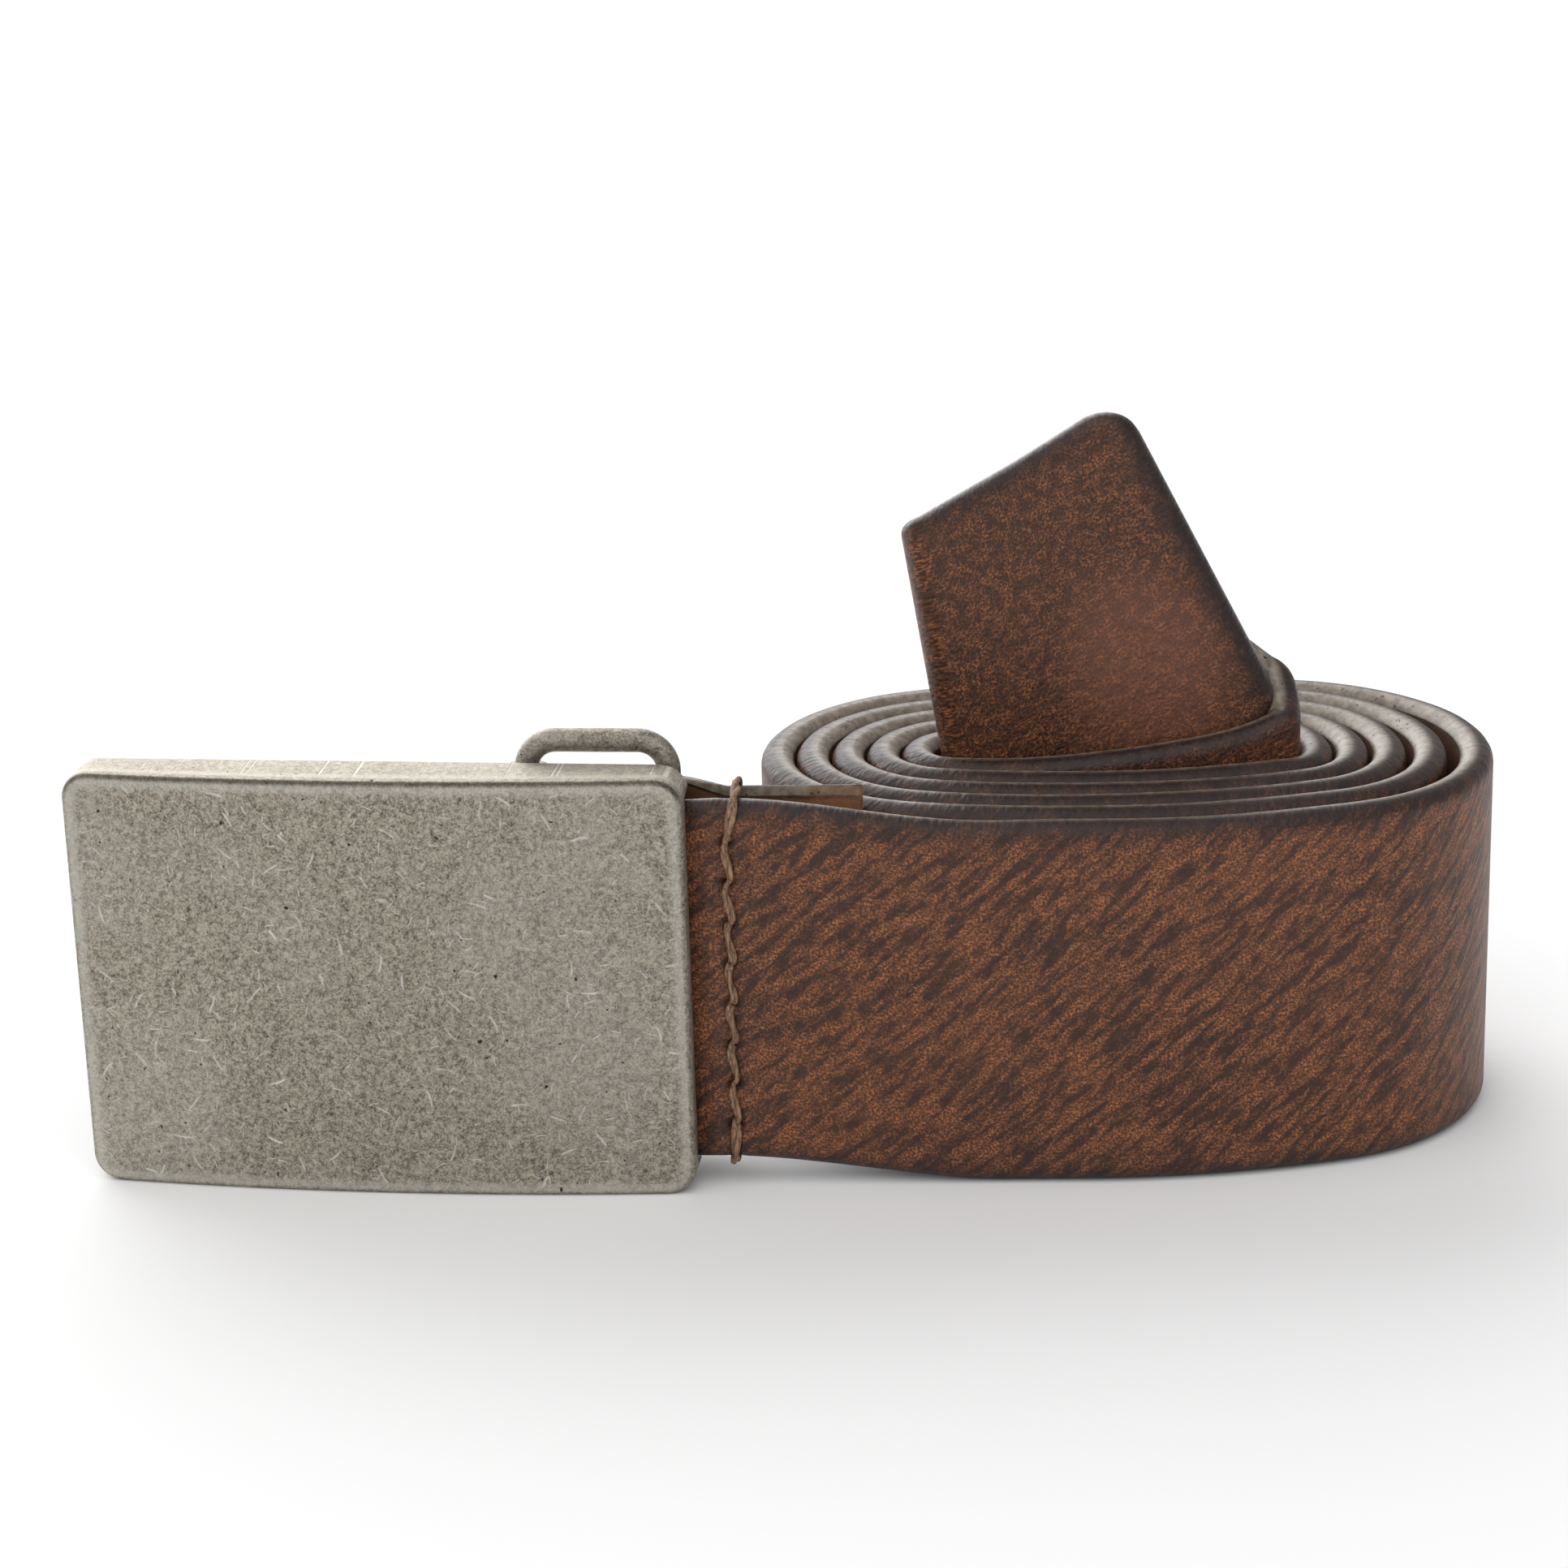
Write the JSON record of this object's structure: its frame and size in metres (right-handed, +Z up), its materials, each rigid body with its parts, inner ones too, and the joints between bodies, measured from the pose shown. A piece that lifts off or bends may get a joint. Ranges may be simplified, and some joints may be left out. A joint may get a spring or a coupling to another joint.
{
  "type": "leather belt with plaque buckle",
  "caption": "Brown leather belt coiled standing on its edge, with an antique-silver plaque buckle on a wire loop, held by a sewn fold, and the strap end rising out of the coil.",
  "frame": {"origin": "middle of the bounding box on the floor the coil and the plaque stand on", "axes": "+X from the buckle to the coil, +Y to the back, +Z up along the strap's width"},
  "size_m": [0.1529, 0.0535, 0.0777],
  "materials": {
    "leather": "waxed",
    "thread": "matte",
    "plate_metal": "antique silver",
    "steel": "satin"
  },
  "bodies": {
    "belt": {"strap": "leather", "seam_thread": "thread"},
    "loop": {"wire_loop": "steel"},
    "buckle": {"buckle_plate": "plate_metal", "hook_peg": "steel"}
  },
  "joints": [
    {"name": "loop_swing", "type": "hinge", "parent": "belt", "child": "loop", "pos_m": [-0.01282, -0.0187, 0.025], "axis": [0, 0, 1], "range_deg": [-35, 8]},
    {"name": "plate_swing", "type": "hinge", "parent": "loop", "child": "buckle", "pos_m": [-0.02771, -0.01702, 0.025], "axis": [0, 0, -1], "range_deg": [0, 90]}
  ]
}
